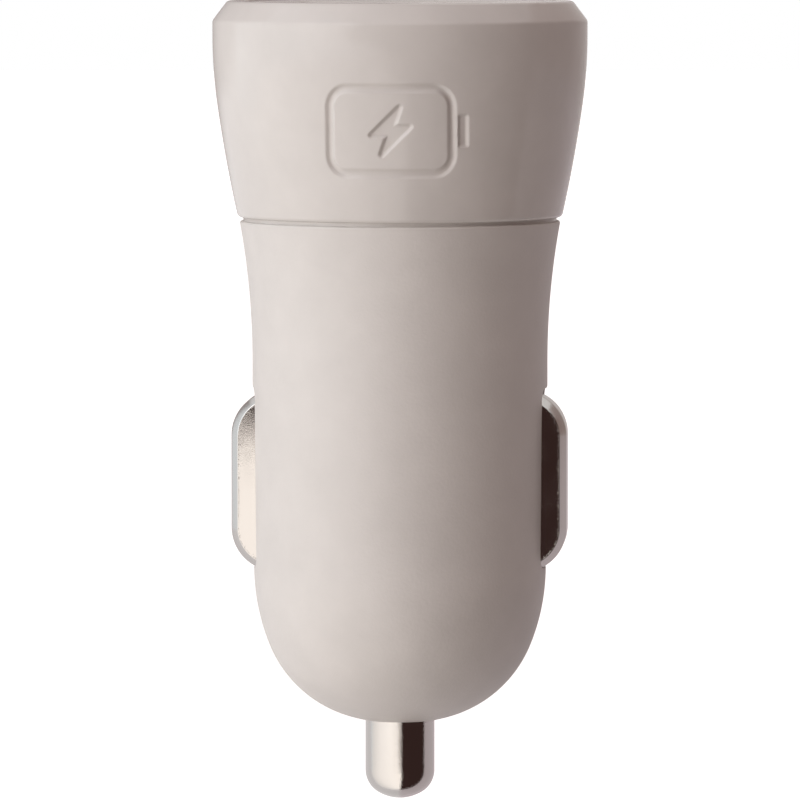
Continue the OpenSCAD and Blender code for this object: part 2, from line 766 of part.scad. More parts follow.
// The strap that joins the two contacts' springs and is soldered to the board by its tab
module ground_strap() {
    x = seat_x + strap_t / 2;
    z = z_block + strap_t / 2;
    foot = z_contact - block_l / 2 + web;
    tab_x = seat_x + strap_t - strap_tab_w;
    color([0.8, 0.72, 0.5]) {
        difference() {
            rotate([90, 0, 0]) linear_extrude(strap_w, center = true)
                strip_outline([[-x, foot], [-x, z], [x, z], [x, foot]], strap_t);
            translate([-seat_x - strap_t - cut, 0, z_contact]) rotate([0, 90, 0])
                cylinder(2 * (seat_x + strap_t + cut), r = boss_r + 2 * push_gap, $fn = 48);
        }
        translate([tab_x + strap_tab_w / 2, 0, 0]) strip_yz([[-strap_w / 2 + cut, z],
            [board_y + strap_t / 2, z], [board_y + strap_t / 2, z + strap_tab_l]], strap_t, strap_tab_w);
    }
}

// A side contact, pressed from sheet: face, ends and edges as one rounded skin, reaching in to back
module contact_skin(inset, back) {
    end_r = contact_end_r - inset;
    half_w = contact_w / 2 - inset;
    edge_r = contact_edge_r - inset;
    z_end = contact_l / 2 - contact_end_r;
    translate([contact_x - contact_end_r, 0, z_contact]) {
        translate([0, 0, -z_end]) linear_extrude(2 * z_end) contact_section(end_r, half_w, edge_r);
        for (s = [0, 1]) mirror([0, 0, s]) translate([0, 0, z_end])
            rotate([90, 0, 0]) rotate_extrude(angle = 90) contact_section(end_r, half_w, edge_r);
        block([back - contact_x + contact_end_r, -half_w, -z_end - end_r], [0, half_w, z_end + end_r]);
    }
}

// Section of a contact across its length, from the ends' centre line out to the face
module contact_section(end_r, half_w, edge_r) {
    translate([0, -half_w]) square([end_r - max(edge_r, 0), 2 * half_w]);
    if (edge_r > 0) {
        translate([0, -half_w + edge_r]) square([end_r, 2 * (half_w - edge_r)]);
        for (s = [-1, 1]) translate([end_r - edge_r, s * (half_w - edge_r)]) circle(edge_r, $fn = fine);
    }
}

module right_contact() {
    inner_x = flange_x - contact_t;
    flange_z = contact_l / 2 + contact_flange;
    color([0.85, 0.84, 0.83]) difference() {
        union() {
            contact_skin(0, inner_x);
            translate([0, 0, z_contact]) block([inner_x, -contact_w / 2, -flange_z],
                [flange_x, contact_w / 2, flange_z]);
        }
        contact_skin(contact_t, inner_x - cut);
    }
}

module left_contact() {
    mirror([1, 0, 0]) right_contact();
}

// Half outline of the tip, taken in by inset: a straight side, a corner arc and a crown arc
module tip_area(inset, top) {
    crown = [0, tip_crown_r];
    corner = [tip_corner_x, tip_corner_z];
    difference() {
        square([tip_r - inset, top]);
        difference() {
            square([tip_r, tip_crown_r]);
            translate(crown) circle(tip_crown_r - inset);
        }
        difference() {
            polygon([corner, corner + [2 * tip_r, 0], corner + unit(corner - crown) * 2 * tip_r]);
            translate(corner) circle(tip_corner_r - inset);
        }
    }
}

module centre_tip() {
    color([0.85, 0.84, 0.83]) rotate_extrude() difference() {
        union() {
            tip_area(0, z_seat + tip_collar_t);
            translate([0, z_seat]) square([collar_r, tip_collar_t]);
        }
        tip_area(tip_wall, z_top);
    }
}

module tip_spring() {
    color([0.6, 0.6, 0.62]) translate([0, 0, z_spring])
        coil(z_terminal - z_spring, tip_spring_r - tip_wire_d / 2, tip_wire_d / 2, tip_turns);
}

module right_contact_spring() {
    reach = contact_x - contact_t - seat_x - strap_t;
    color([0.6, 0.6, 0.62]) translate([seat_x + strap_t, 0, z_contact]) rotate([0, 90, 0])
        coil(reach, (side_spring_d - side_wire_d) / 2, side_wire_d / 2, side_turns, 6, 12);
}

module left_contact_spring() {
    mirror([1, 0, 0]) right_contact_spring();
}

// The disc that the tip's spring pushes on, with a leg to the board
module tip_terminal() {
    z = z_terminal + terminal_t / 2;
    y = board_y + terminal_t / 2;
    z_bend = z_floor + 2 * terminal_t;
    color([0.8, 0.72, 0.5]) {
        translate([0, 0, z_terminal]) cylinder(terminal_t, r = terminal_r);
        strip_yz([[0, z], [-leg_y, z], [-leg_y, z_bend], [y, z_bend + 2 * terminal_t], [y, z_floor + leg_l]],
            terminal_t, leg_w);
    }
}

head_shell();
body_shell();
face_plate();
usb_shell();
usb_insulator();
usb_contact(1);  // usb_contact_1
usb_contact(2);  // usb_contact_2
usb_contact(3);  // usb_contact_3
usb_contact(4);  // usb_contact_4
circuit_board();
inductor_core();
inductor_winding();
input_capacitor();
output_capacitor();
controller_chip();
rectifier_diode();
board_fuse();
chip_resistors();
contact_carrier();
ground_strap();
left_contact();
right_contact();
left_contact_spring();
right_contact_spring();
centre_tip();
tip_spring();
tip_terminal();
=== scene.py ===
"""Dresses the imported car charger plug: a studio, fine housings and contacts, and the materials.

Shapes are worked out in millimetres, in the part's own frame, and their meshes are in metres.
"""

import json
import math

import bmesh
import bpy
import numpy as np
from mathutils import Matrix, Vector


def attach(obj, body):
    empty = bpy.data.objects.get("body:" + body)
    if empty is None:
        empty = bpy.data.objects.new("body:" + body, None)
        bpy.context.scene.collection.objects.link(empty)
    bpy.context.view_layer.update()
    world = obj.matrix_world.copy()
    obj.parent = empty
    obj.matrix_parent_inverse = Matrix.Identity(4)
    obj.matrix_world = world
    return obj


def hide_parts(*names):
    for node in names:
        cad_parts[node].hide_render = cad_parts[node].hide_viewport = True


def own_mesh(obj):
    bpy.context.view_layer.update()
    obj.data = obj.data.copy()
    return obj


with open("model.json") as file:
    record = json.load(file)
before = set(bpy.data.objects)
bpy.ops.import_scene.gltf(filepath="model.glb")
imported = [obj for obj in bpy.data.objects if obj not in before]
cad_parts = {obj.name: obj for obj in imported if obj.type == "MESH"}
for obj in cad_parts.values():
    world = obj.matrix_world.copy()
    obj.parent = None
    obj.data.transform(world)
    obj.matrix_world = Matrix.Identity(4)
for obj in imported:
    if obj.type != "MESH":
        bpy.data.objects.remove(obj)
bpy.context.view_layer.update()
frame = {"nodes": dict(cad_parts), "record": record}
nodes = frame["nodes"]
MM = 0.001

# Sizes in millimetres, most of them as the part's source has them
BARREL_R = 10.35
NOSE_R = 10.25
WAIST_R = 11.25
WALL = 1.35
TIP_OUT = 5.3
NOSE_L = 11.05
NOSE_SIDE_R = 14.7
NOSE_CORNER_R = 8.6
NOSE_CROWN_R = 13.0
Z_NOSE = TIP_OUT + NOSE_L
Z_LAND = Z_NOSE + 13.0
Z_FLARE = Z_LAND + 1.5
Z_WAIST = Z_FLARE + 9.8
Z_HEAD = Z_WAIST + 0.25
Z_TOP = Z_HEAD + 15.15
Z_BROW = Z_TOP - 2.4
HEAD_R = 13.13
HEAD_BROW_R = 35.0
HEAD_BROW_L = 4.9
HEAD_SIDE_R = 100.0
HEAD_WALL = 1.8
HEAD_WALL_TAPER = 0.55
HEAD_DECK_T = 1.2
HEAD_NECK = 0.6
HEAD_NECK_L = 3.2
RIM_W = 1.05
RIM_H = 1.4
RIM_ROUND = 0.45
FOOT_ROUND = 0.35
EDGE_ROUND = 0.08
GROOVE = 0.27
MOUTH_ROUND = 0.15
MOUTH_IN_ROUND = 0.1
SPIGOT_R = 9.8
SPIGOT_L = 3.4
SPIGOT_WALL = 1.0
SPIGOT_ROUND = 0.3
PLATE_R = 10.9
PLATE_T = 1.6
PLATE_LEDGE = 0.8
PLATE_BEVEL = 0.2
Z_PLATE_TOP = Z_TOP - 0.1
Z_PLATE = Z_PLATE_TOP - PLATE_T
TIP_R = 2.43
TIP_WALL = 0.45
TIP_CROWN_R = 3.0
TIP_CORNER_R = 1.8
Z_SEAT = TIP_OUT + 1.65
COLLAR_R = TIP_R + 0.65
COLLAR_T = 0.7
TIP_TRAVEL = 2.8
TIP_HOLE_ROUND = 0.12
TIP_HOLE_LIP = 0.25
TIP_SIDE_STEP = 0.6
SLEEVE_R = COLLAR_R + 0.15
SLEEVE_WALL = 1.0
SLEEVE_FOOT = 1.4
Z_TERMINAL = Z_SEAT + COLLAR_T + TIP_TRAVEL + 1.4
Z_SLEEVE = Z_TERMINAL + 1.4
CONTACT_X = 11.75
CONTACT_W = 4.4
CONTACT_L = 12.65
CONTACT_END_R = 3.1
CONTACT_BEVEL_W = 0.5
CONTACT_BEVEL_T = 0.6
CONTACT_T = 0.45
CONTACT_FLANGE = 1.1
CONTACT_FLANGE_SIDE = 0.02
CONTACT_TRAVEL = 1.4
Z_CONTACT = (Z_NOSE + Z_LAND) / 2 - 0.45
FLANGE_X = math.sqrt((NOSE_R - WALL) ** 2 - (CONTACT_W / 2) ** 2) - 0.1
SEAT_X = FLANGE_X - CONTACT_T - CONTACT_TRAVEL - 2.0
SLOT_GAP = 0.15
SLOT_RISE = 0.05
SLOT_CORNER_R = 0.9
SLOT_RIM = 0.12
SLOT_FOOT = 0.935
SLOT_OUT = 0.6
PORT_W = 12.5
PORT_H = 5.12
PORT_SHEET = 0.3
PORT_CORNER_R = 0.6
PORT_COLLAR_L = 2.6
PORT_COLLAR_T = 1.0
MOUTH_BEVEL_W = 0.65
MOUTH_BEVEL_H = 0.4
PORT_EDGE_ROUND = 0.1
TIP_WIRE_R = 0.2
SIDE_WIRE_R = 0.175
SIDE_COIL_R = 1.325
TIP_TURNS = 9
SIDE_TURNS = 7
LOOSE = 0.15
SNUG = 0.05
# How far a cutter reaches past what it cuts
CUT_OVER = 0.5
# The flare's arc ends this many degrees early, where the mouth's rounding starts
FLARE_SHORT = 0.3
# Pitch of a spring's end turns, in radii of its wire
CLOSE_PITCH = 2.15
# Below TINY a radius counts as none, and points nearer than WELD are merged
TINY = 1e-6
WELD = 1e-5


# Meshes

def finish_mesh(name, mesh, body, slot, sharp=35, material=None):
    """Turns a mesh in millimetres into a piece that rides on a body."""
    bm = bmesh.new()
    bm.from_mesh(mesh)
    bmesh.ops.remove_doubles(bm, verts=bm.verts, dist=WELD)
    bmesh.ops.recalc_face_normals(bm, faces=bm.faces)
    bmesh.ops.scale(bm, vec=(MM, MM, MM), verts=bm.verts)
    bm.to_mesh(mesh)
    bm.free()
    mesh.shade_smooth()
    mesh.set_sharp_from_angle(angle=math.radians(sharp))
    piece = bpy.data.objects.new(name, mesh)
    bpy.context.scene.collection.objects.link(piece)
    mesh.materials.append(material or MATERIALS[slot])
    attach(piece, body)
    return piece


def mesh_of(name, points, faces):
    """A mesh from points and from faces that name them by number."""
    mesh = bpy.data.meshes.new(name)
    mesh.from_pydata([tuple(p) for p in points], [], faces)
    mesh.update()
    return mesh


def loft(name, loops, wrap=False, caps=False):
    """Quads between loops of equal length. wrap joins the last loop to the first."""
    count, size = len(loops), len(loops[0])
    points = [p for loop in loops for p in loop]
    faces = []
    for i in range(count if wrap else count - 1):
        a, b = i * size, (i + 1) % count * size
        for j in range(size):
            k = (j + 1) % size
            faces.append((a + j, a + k, b + k, b + j))
    if caps:
        faces.append(tuple(range(size)))
        faces.append(tuple(range((count - 1) * size, count * size)))
    return mesh_of(name, points, faces)


def revolve(name, profile, angles, carve=None):
    """A profile of (r, z) turned about Z, at angles in degrees from the front, which faces -Y."""
    turn = np.radians(np.array(angles, float))
    r, z = (np.repeat(np.array(profile, float)[:, i : i + 1], len(turn), 1) for i in (0, 1))
    if carve is not None:
        r = r - carve(r, turn, z)
    x, y = r * np.sin(turn), -r * np.cos(turn)
    loops = [np.stack([x[i], y[i], z[i]], 1).tolist() for i in range(len(profile))]
    open_ends = profile[0][0] < TINY and profile[-1][0] < TINY
    return loft(name, loops, wrap=not open_ends)


def arc(centre, r, start, end, steps):
    """Points (r, z) on an arc between two angles in degrees."""
    turns = np.radians(np.linspace(start, end, steps + 1))
    return [(centre[0] + r * math.cos(t), centre[1] + r * math.sin(t)) for t in turns]


def angle_to(centre, point):
    """The direction from one point to another, in degrees."""
    return math.degrees(math.atan2(point[1] - centre[1], point[0] - centre[0]))


def filleted(path, steps=6):
    """A path of (x, y, radius) with its corners rounded, as (x, y) points."""
    points = []
    for i, (x, y, r) in enumerate(path):
        if r == 0:
            points.append((x, y))
            continue
        corner = Vector((x, y))
        before = (Vector(path[i - 1][:2]) - corner).normalized()
        after = (Vector(path[(i + 1) % len(path)][:2]) - corner).normalized()
        half = before.angle(after) / 2
        middle = corner + (before + after).normalized() * r / math.sin(half)
        reach = r / math.tan(half)
        first, last = corner + before * reach, corner + after * reach
        start = angle_to(middle, first)
        sweep = (angle_to(middle, last) - start + 180) % 360 - 180
        points += arc(middle, r, start, start + sweep, steps)
    return points


def rounded_rectangle(w, h, r, steps=6):
    """Corner points of a rounded rectangle about the origin, counter-clockwise."""
    points = []
    for i, (sx, sy) in enumerate(((1, 1), (-1, 1), (-1, -1), (1, -1))):
        centre = (sx * (w / 2 - r), sy * (h / 2 - r))
        points += arc(centre, r, 90 * i, 90 * i + 90, steps)
    return points


def boolean(target, tool, kind):
    """Cuts or joins two meshes in millimetres, and returns the result."""
    a = bpy.data.objects.new("boolean_target", target)
    b = bpy.data.objects.new("boolean_tool", tool)
    for o in (a, b):
        bm = bmesh.new()
        bm.from_mesh(o.data)
        bmesh.ops.remove_doubles(bm, verts=bm.verts, dist=WELD)
        bmesh.ops.recalc_face_normals(bm, faces=bm.faces)
        if bm.calc_volume(signed=True) < 0:
            bmesh.ops.reverse_faces(bm, faces=bm.faces)
        bm.to_mesh(o.data)
        bm.free()
        bpy.context.scene.collection.objects.link(o)
    step = a.modifiers.new("cut", "BOOLEAN")
    step.operation = kind
    step.solver = "EXACT"
    step.object = b
    graph = bpy.context.evaluated_depsgraph_get()
    made = bpy.data.meshes.new_from_object(a.evaluated_get(graph))
    for o in (a, b):
        mesh = o.data
        bpy.data.objects.remove(o)
        bpy.data.meshes.remove(mesh)
    made.materials.clear()
    return made


def block(low, high):
    """A box between two corners."""
    points = [(x, y, z) for x in (low[0], high[0]) for y in (low[1], high[1])
              for z in (low[2], high[2])]
    faces = [(0, 1, 3, 2), (4, 6, 7, 5), (0, 4, 5, 1), (2, 3, 7, 6), (0, 2, 6, 4), (1, 5, 7, 3)]
    return mesh_of("block", points, faces)


# Materials

# Scales of the surfaces' noises, in features per metre, and depths in metres
PATCHES = 260
WAVES = 180
WAVE_DEPTH = 2.0e-6
FILM = 420
SCRATCHES = 2600
GRIT = 9000
# How far the worn edge's grain reaches in, and where it starts and ends, in millimetres
WORN_REACH = 0.9
WORN_START = 0.02
WORN_END = 0.12
# Linear colours that two or more materials share
SHELL_GREY = (0.64, 0.6, 0.57)
NICKEL = (0.57, 0.55, 0.53)
OFF_WHITE = (0.72, 0.7, 0.64)


def node_tree(name):
    """A new material with its node tree and shader."""
    material = bpy.data.materials.new(name)
    material.use_nodes = True
    tree = material.node_tree
    return material, tree, tree.nodes["Principled BSDF"]


def noise(tree, scale, detail=3.0, rough=0.55, stretch=None):
    """A noise over the object's own coordinates."""
    place = tree.nodes.new("ShaderNodeTexCoord")
    out = place.outputs["Object"]
    if stretch is not None:
        mapping = tree.nodes.new("ShaderNodeMapping")
        mapping.inputs["Scale"].default_value = stretch
        tree.links.new(out, mapping.inputs["Vector"])
        out = mapping.outputs["Vector"]
    texture = tree.nodes.new("ShaderNodeTexNoise")
    texture.inputs["Scale"].default_value = scale
    texture.inputs["Detail"].default_value = detail
    texture.inputs["Roughness"].default_value = rough
    tree.links.new(out, texture.inputs["Vector"])
    return texture.outputs["Fac"]


def remap(tree, value, low, high, bottom=0.3, top=0.7):
    """The value carried from the range bottom to top over to the range low to high."""
    step = tree.nodes.new("ShaderNodeMapRange")
    for key, number in (("From Min", bottom), ("From Max", top), ("To Min", low), ("To Max", high)):
        step.inputs[key].default_value = number
    tree.links.new(value, step.inputs["Value"])
    return step.outputs["Result"]


def tinted(tree, shader, value, dark, light):
    """Base colour that runs between two colours."""
    mix = tree.nodes.new("ShaderNodeMix")
    mix.data_type = "RGBA"
    mix.inputs["A"].default_value = (*dark, 1)
    mix.inputs["B"].default_value = (*light, 1)
    tree.links.new(value, mix.inputs["Factor"])
    tree.links.new(mix.outputs["Result"], shader.inputs["Base Color"])


def bumped(tree, shader, value, depth, under=None):
    """Bump of a depth in metres, over another bump where one is given."""
    bump = tree.nodes.new("ShaderNodeBump")
    bump.inputs["Distance"].default_value = depth
    tree.links.new(value, bump.inputs["Height"])
    if under is not None:
        tree.links.new(under, bump.inputs["Normal"])
    tree.links.new(bump.outputs["Normal"], shader.inputs["Normal"])
    return bump.outputs["Normal"]


def plastic(name, colour, rough, grain, grain_depth, shade=0.03, rough_span=0.04, gloss=0.5):
    """A moulded surface: faint patches of shade over soft waves and a fine grain."""
    material, tree, shader = node_tree(name)
    shader.inputs["Specular IOR Level"].default_value = gloss
    patches = noise(tree, PATCHES, detail=4)
    darker = [c * (1 - shade) for c in colour]
    lighter = [min(1, c * (1 + shade)) for c in colour]
    tinted(tree, shader, remap(tree, patches, 0, 1), darker, lighter)
    speckle = noise(tree, grain, detail=2)
    sheen = remap(tree, speckle, rough - rough_span, rough + rough_span)
    tree.links.new(sheen, shader.inputs["Roughness"])
    waves = bumped(tree, shader, noise(tree, WAVES, detail=1), WAVE_DEPTH)
    bumped(tree, shader, speckle, grain_depth, under=waves)
    return material


def metal(name, colour, rough, scratch=(1, 1, 12), depth=1.2e-6, rough_span=0.03, shade=0.02,
          grit=0):
    """Bare or plated metal with a faint film, fine scratches and, where asked for, grit."""
    material, tree, shader = node_tree(name)
    shader.inputs["Metallic"].default_value = 1
    film = noise(tree, FILM, detail=4)
    tinted(tree, shader, remap(tree, film, 0, 1), [c * (1 - shade) for c in colour], colour)
    sheen = remap(tree, film, rough - rough_span, rough + rough_span)
    tree.links.new(sheen, shader.inputs["Roughness"])
    fine = noise(tree, SCRATCHES, detail=5, rough=0.7, stretch=scratch)
    waves = bumped(tree, shader, fine, depth)
    if grit:
        bumped(tree, shader, noise(tree, GRIT, detail=2), grit, under=waves)
    return material


def math_node(tree, operation, first, second=None):
    """A math node on one or two values, each a socket or a number."""
    step = tree.nodes.new("ShaderNodeMath")
    step.operation = operation
    for i, value in enumerate((first, second)):
        if isinstance(value, (int, float)):
            step.inputs[i].default_value = value
        elif value is not None:
            tree.links.new(value, step.inputs[i])
    return step.outputs["Value"]


def worn_contact(name, colour, rough, edge_rough):
    """Plated sheet whose edge is rougher than its flat sides, with a grainy border between."""
    material = metal(name, colour, rough, depth=3e-7, grit=1.5e-7)
    tree = material.node_tree
    shader = tree.nodes["Principled BSDF"]
    place = tree.nodes.new("ShaderNodeTexCoord")
    split = tree.nodes.new("ShaderNodeSeparateXYZ")
    tree.links.new(place.outputs["Object"], split.inputs["Vector"])
    x = math_node(tree, "ABSOLUTE", split.outputs["X"])
    x = math_node(tree, "SUBTRACT", x, (CONTACT_X - CONTACT_END_R) * MM)
    z = math_node(tree, "SUBTRACT", split.outputs["Z"], Z_CONTACT * MM)
    z = math_node(tree, "ABSOLUTE", z)
    z = math_node(tree, "SUBTRACT", z, (CONTACT_L / 2 - CONTACT_END_R) * MM)
    z = math_node(tree, "MAXIMUM", z, 0)
    squares = [math_node(tree, "MULTIPLY", part, part) for part in (x, z)]
    reach = math_node(tree, "SQRT", math_node(tree, "ADD", *squares))
    inward = math_node(tree, "SUBTRACT", CONTACT_END_R * MM, reach)
    grain = math_node(tree, "MULTIPLY", noise(tree, GRIT, detail=3), -WORN_REACH * MM)
    inward = math_node(tree, "ADD", inward, grain)
    old = shader.inputs["Roughness"].links[0].from_socket
    edge = remap(tree, inward, 1, 0, WORN_START * MM, WORN_END * MM)
    step = tree.nodes.new("ShaderNodeMix")
    step.inputs["B"].default_value = edge_rough
    tree.links.new(edge, step.inputs["Factor"])
    tree.links.new(old, step.inputs["A"])
    tree.links.new(step.outputs["Result"], shader.inputs["Roughness"])
    return material


# Each has its linear colour and its roughness, and a plastic also the scale and depth of its grain
MATERIALS = {
    "head_plastic": plastic("head_plastic", SHELL_GREY, 0.13, 5200, 0.5e-6, gloss=0.32),
    "body_plastic": plastic("body_plastic", SHELL_GREY, 0.46, 4300, 1.3e-5),
    "plate_plastic": plastic("plate_plastic", SHELL_GREY, 0.3, 6400, 4.0e-6),
    "contact_chrome": metal("contact_chrome", NICKEL, 0.08, depth=5e-7, grit=9.0e-6),
    "port_steel": metal("port_steel", (0.68, 0.69, 0.7), 0.24, scratch=(1, 1, 0.1)),
    "port_plastic": plastic("port_plastic", (0.03, 0.03, 0.032), 0.42, 6000, 6.0e-6),
    "contact_gold": metal("contact_gold", (0.83, 0.6, 0.26), 0.16),
    "board_green": plastic("board_green", (0.03, 0.15, 0.07), 0.28, 3000, 4.0e-6),
    "ferrite": plastic("ferrite", (0.055, 0.053, 0.055), 0.55, 5000, 1.2e-5),
    "copper_wire": metal("copper_wire", (0.72, 0.3, 0.13), 0.22),
    "can_sleeve": plastic("can_sleeve", (0.025, 0.03, 0.05), 0.3, 3000, 2.0e-6),
    "chip_epoxy": plastic("chip_epoxy", (0.03, 0.03, 0.03), 0.5, 7000, 8.0e-6),
    "fuse_body": plastic("fuse_body", OFF_WHITE, 0.5, 5000, 4.0e-6),
    "carrier_plastic": plastic("carrier_plastic", OFF_WHITE, 0.42, 5200, 5.0e-6),
    "strip_brass": metal("strip_brass", (0.75, 0.55, 0.25), 0.24),
    "spring_wire": metal("spring_wire", (0.6, 0.6, 0.62), 0.26),
}
CONTACT_METAL = worn_contact("worn_contact", NICKEL, rough=0.045, edge_rough=0.2)
for entry in frame["record"]["subparts"]:
    piece = nodes[entry["node"]]
    piece.data.materials.clear()
    piece.data.materials.append(MATERIALS[entry["material_slot"]])


# The sign on the head's front
SIGN_Z = 47.3
SIGN_STROKE = 0.78
SIGN_DEPTH = 0.2
SIGN_W = 8.6
SIGN_H = 5.9
SIGN_R = 1.3
SIGN_REACH = 5.9
SIGN_LEAN = 0.6
SIGN_END_GAP = 0.62
SIGN_END_W = 0.38
SIGN_END_H = 0.95
SIGN_END_SOFT = 0.12
SIGN_BOLT_SOFT = 0.14
SIGN_SKIN = 1.6
# Angle in radians to either side of the front that may hold the sign
SIGN_SECTOR = 0.6
# How flat the bottom of the outline's groove is, and how steep the filled shapes' sides are
SIGN_FLAT = 1.15
SIGN_STEEP = 1.4
# Points along the head's ring where the sign is, and round the rest of it
SIGN_COLUMNS = 170
PLAIN_COLUMNS = 156
BOLT = [(0.62, 1.62), (-1.32, -0.28), (-0.16, -0.28), (-0.62, -1.62), (1.32, 0.28), (0.16, 0.28)]


def box_distance(u, v, w, h, r):
    """Signed distance to a rounded rectangle about the origin."""
    du, dv = np.abs(u) - w / 2 + r, np.abs(v) - h / 2 + r
    return np.hypot(np.maximum(du, 0), np.maximum(dv, 0)) + np.minimum(np.maximum(du, dv), 0) - r


def polygon_distance(u, v, corners):
    """Signed distance to a polygon, negative inside."""
    best = np.full(u.shape, np.inf)
    inside = np.zeros(u.shape, bool)
    for (ax, ay), (bx, by) in zip(corners, corners[1:] + corners[:1]):
        ex, ey = bx - ax, by - ay
        t = np.clip(((u - ax) * ex + (v - ay) * ey) / (ex * ex + ey * ey), 0, 1)
        best = np.minimum(best, np.hypot(u - ax - t * ex, v - ay - t * ey))
        crosses = (ay > v) != (by > v)
        inside ^= crosses & (u < ex * (v - ay) / (ey if ey else TINY) + ax)
    return np.where(inside, -best, best)


def soft_step(x):
    """Rises smoothly from 0 at 0 to 1 at 1."""
    x = np.clip(x, 0, 1)
    return x * x * (3 - 2 * x)


def sign_depth(r, turn, z):
    """Depth of the sign's grooves: a battery's outline with its end, and a bolt in it."""
    side = (turn[None, :] + math.pi) % math.tau - math.pi
    u, v = r * side, z - SIGN_Z
    outline = np.abs(box_distance(u, v, SIGN_W, SIGN_H, SIGN_R))
    near, far = SIGN_W / 2 + SIGN_END_GAP, SIGN_W / 2 + SIGN_END_GAP + SIGN_END_W
    end = polygon_distance(u, v, [(near, -SIGN_END_H), (far, -SIGN_END_H), (far, SIGN_END_H),
                                  (near, SIGN_END_H)]) - SIGN_END_SOFT
    bolt = polygon_distance(u, v, BOLT) - SIGN_BOLT_SOFT
    half = SIGN_STROKE / 2
    cut = soft_step(SIGN_FLAT * (1 - outline / half))
    for shape in (end, bolt):
        cut = np.maximum(cut, soft_step(0.5 - shape / half * SIGN_STEEP))
    front = (np.abs(side) < SIGN_SECTOR) & (r > HEAD_R - SIGN_SKIN)
    return SIGN_DEPTH * cut * front


# The head

def head_profile():
    """Two tangent arcs over a round foot, a chamfered rim, the plate's seat and the spigot."""
    brow = (HEAD_R - HEAD_BROW_R, Z_BROW)
    dip = math.degrees(math.asin(HEAD_BROW_L / HEAD_BROW_R))
    knee = arc(brow, HEAD_BROW_R, -dip, -dip, 1)[0]
    side = (knee[0] - HEAD_SIDE_R * math.cos(math.radians(dip)),
            knee[1] + HEAD_SIDE_R * math.sin(math.radians(dip)))
    rise = Z_HEAD + FOOT_ROUND - side[1]
    foot = (side[0] + math.sqrt((HEAD_SIDE_R - FOOT_ROUND) ** 2 - rise**2), Z_HEAD + FOOT_ROUND)
    low = angle_to(side, foot)
    fine = 0.07
    side_length = math.radians(-dip - low) * HEAD_SIDE_R
    outer = arc(foot, FOOT_ROUND, -90, low, steps=6)
    outer += arc(side, HEAD_SIDE_R, low, -dip, int(side_length / fine))[1:]
    outer += arc(brow, HEAD_BROW_R, -dip, 0, int(HEAD_BROW_L / fine))[1:]
    inner_r = PLATE_R - PLATE_LEDGE
    deck = Z_PLATE - HEAD_DECK_T
    spigot_in = SPIGOT_R - SPIGOT_WALL
    neck = Z_HEAD + HEAD_NECK
    inside = HEAD_R - HEAD_WALL
    low_in = inside - HEAD_WALL_TAPER
    rim = [(HEAD_R, Z_TOP - RIM_H, RIM_ROUND), (HEAD_R - RIM_W, Z_TOP, RIM_ROUND),
           (PLATE_R + SNUG, Z_TOP, EDGE_ROUND), (PLATE_R + SNUG, Z_PLATE, 0),
           (inner_r, Z_PLATE, 0), (inner_r, deck, 0), (inside, deck, 0),
           (low_in, neck + HEAD_NECK_L, 0),
           (spigot_in, neck, 0), (spigot_in, Z_WAIST - SPIGOT_L, 0),
           (SPIGOT_R, Z_WAIST - SPIGOT_L, SPIGOT_ROUND),
           (SPIGOT_R, Z_WAIST, 0), (WAIST_R - GROOVE, Z_WAIST, 0), (WAIST_R - GROOVE, Z_HEAD, 0)]
    path = [(*outer[-1], 0)] + rim + [(*outer[0], 0)]
    return outer + filleted(path)[1:-1]


def head_angles():
    """Angles in degrees, close together where the sign is."""
    near = math.degrees(SIGN_REACH / (HEAD_R - SIGN_LEAN))
    fine = np.linspace(-near, near, SIGN_COLUMNS)
    coarse = np.linspace(near, 360 - near, PLAIN_COLUMNS)[1:-1]
    return np.concatenate([fine, coarse])


head_shape = revolve("head", head_profile(), head_angles(), sign_depth)
head = finish_mesh("head", head_shape, "plug", "head_plastic")
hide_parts("head_shell")


# The body

def crossing(a, ra, b, rb):
    """The crossing of two circles that lies to the right of the line between their centres."""
    v = (b[0] - a[0], b[1] - a[1])
    d = math.hypot(*v)
    t = (ra**2 - rb**2 + d**2) / (2 * d)
    h = math.sqrt(ra**2 - t**2)
    return (a[0] + (v[0] * t + v[1] * h) / d, a[1] + (v[1] * t - v[0] * h) / d)


def nose_arcs(inset, start_r, steps):
    """The nose's profile from a radius near the axis up to the barrel."""
    side = (NOSE_R - NOSE_SIDE_R, Z_NOSE)
    crown = (0, TIP_OUT + NOSE_CROWN_R)
    corner = crossing(side, NOSE_SIDE_R - NOSE_CORNER_R, crown, NOSE_CROWN_R - NOSE_CORNER_R)
    first = -math.degrees(math.acos(start_r / (NOSE_CROWN_R - inset)))
    second, third = angle_to(crown, corner), angle_to(side, corner)
    points = arc(crown, NOSE_CROWN_R - inset, first, second, steps)
    points += arc(corner, NOSE_CORNER_R - inset, second, third, 2 * steps)[1:]
    points += arc(side, NOSE_SIDE_R - inset, third, 0, steps)[1:]
    return points


